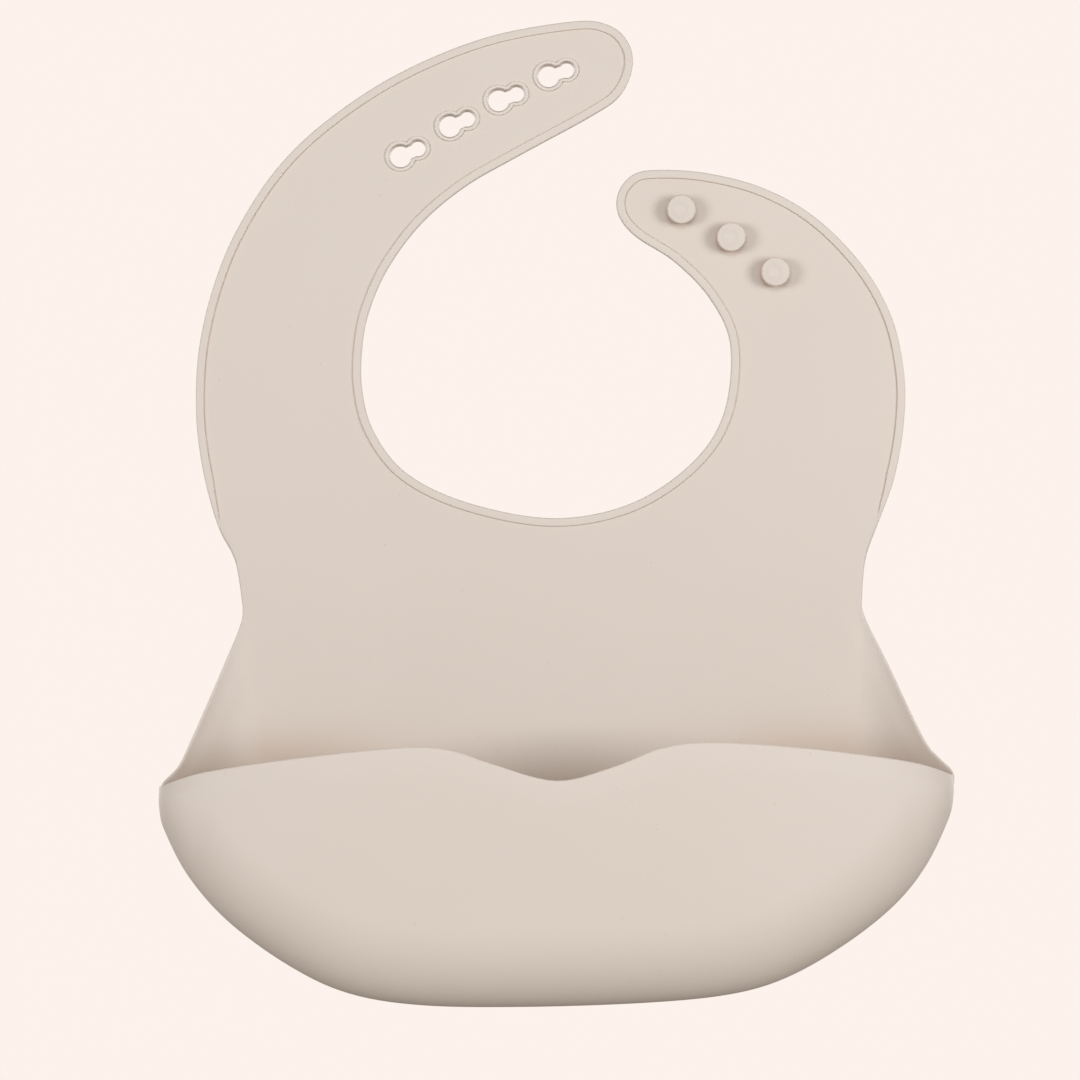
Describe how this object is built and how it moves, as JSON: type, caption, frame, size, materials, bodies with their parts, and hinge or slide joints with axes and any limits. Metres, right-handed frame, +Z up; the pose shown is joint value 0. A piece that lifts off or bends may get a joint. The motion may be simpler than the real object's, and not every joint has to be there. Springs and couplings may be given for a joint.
{
  "type": "silicone bib",
  "caption": "Baby's silicone bib with a crumb-catcher pocket and an open collar: one strap has keyholes, the other has studs that button into them.",
  "frame": {"origin": "centre of the neck opening, in the middle of the sheet's thickness", "axes": "+Z up towards the straps, -Y the front that the pocket is on, +X the side of the stud strap"},
  "size_m": [0.2305, 0.0469, 0.2872],
  "materials": {
    "silicone": "matte",
    "silicone_raised": "matte"
  },
  "bodies": {
    "chest": {"chest_panel": "silicone", "chest_rim_left": "silicone_raised", "chest_rim_neck": "silicone_raised", "chest_rim_right": "silicone_raised"},
    "keyhole_shoulder": {"keyhole_strap_shoulder": "silicone", "keyhole_strap_shoulder_rim_outer": "silicone_raised", "keyhole_strap_shoulder_rim_inner": "silicone_raised"},
    "keyhole_middle": {"keyhole_strap_middle": "silicone", "keyhole_strap_middle_rim_outer": "silicone_raised", "keyhole_strap_middle_rim_inner": "silicone_raised"},
    "keyhole_tip": {"keyhole_strap_tip": "silicone", "keyhole_strap_tip_rim": "silicone_raised", "keyhole_collar_1": "silicone_raised", "keyhole_collar_2": "silicone_raised", "keyhole_collar_3": "silicone_raised", "keyhole_collar_4": "silicone_raised"},
    "stud_shoulder": {"stud_strap_shoulder": "silicone", "stud_strap_shoulder_rim_outer": "silicone_raised", "stud_strap_shoulder_rim_inner": "silicone_raised"},
    "stud_tip": {"stud_strap_tip": "silicone", "stud_strap_tip_rim": "silicone_raised", "stud_1": "silicone_raised", "stud_2": "silicone_raised", "stud_3": "silicone_raised"},
    "pocket": {"pocket_back": "silicone", "pocket_floor": "silicone", "pocket_side_left": "silicone", "pocket_side_right": "silicone"},
    "pocket_wall": {"pocket_front": "silicone"}
  },
  "joints": [
    {"name": "keyhole_strap_fold", "type": "hinge", "parent": "chest", "child": "keyhole_shoulder", "pos_m": [-0.07811, 0.0009, -0.01973], "axis": [-0.9991, 0, 0.0415], "range_deg": [0, 80], "stiffness_Nm_per_rad": 0.04},
    {"name": "keyhole_strap_bend", "type": "hinge", "parent": "keyhole_shoulder", "child": "keyhole_middle", "pos_m": [-0.07303, 0.0009, 0.02871], "axis": [-0.8708, 0, 0.4917], "range_deg": [0, 48], "stiffness_Nm_per_rad": 0.03},
    {"name": "keyhole_strap_curl", "type": "hinge", "parent": "keyhole_middle", "child": "keyhole_tip", "pos_m": [-0.05288, 0.0009, 0.05668], "axis": [-0.7216, 0, 0.6923], "range_deg": [0, 40], "stiffness_Nm_per_rad": 0.03},
    {"name": "stud_strap_fold", "type": "hinge", "parent": "chest", "child": "stud_shoulder", "pos_m": [0.07696, 0.0009, -0.01597], "axis": [-0.9995, 0, 0.0309], "range_deg": [0, 80], "stiffness_Nm_per_rad": 0.04},
    {"name": "stud_strap_bend", "type": "hinge", "parent": "stud_shoulder", "child": "stud_tip", "pos_m": [0.07214, 0.0009, 0.01751], "axis": [-0.842, 0, -0.5394], "range_deg": [0, 48], "stiffness_Nm_per_rad": 0.03},
    {"name": "waist_fold", "type": "hinge", "parent": "chest", "child": "pocket", "pos_m": [0, -0.0009, -0.0707], "axis": [-1, 0, 0], "range_deg": [0, 110], "stiffness_Nm_per_rad": 0.08},
    {"name": "pocket_flex", "type": "hinge", "parent": "pocket", "child": "pocket_wall", "pos_m": [0, -0.023, -0.1835], "axis": [1, 0, 0], "range_deg": [-25, 15], "stiffness_Nm_per_rad": 0.05}
  ],
  "couplings": [
    {"joint": "keyhole_strap_bend", "follows": "keyhole_strap_fold", "ratio": 0.6},
    {"joint": "keyhole_strap_curl", "follows": "keyhole_strap_fold", "ratio": 0.5},
    {"joint": "stud_strap_bend", "follows": "stud_strap_fold", "ratio": 0.6}
  ]
}
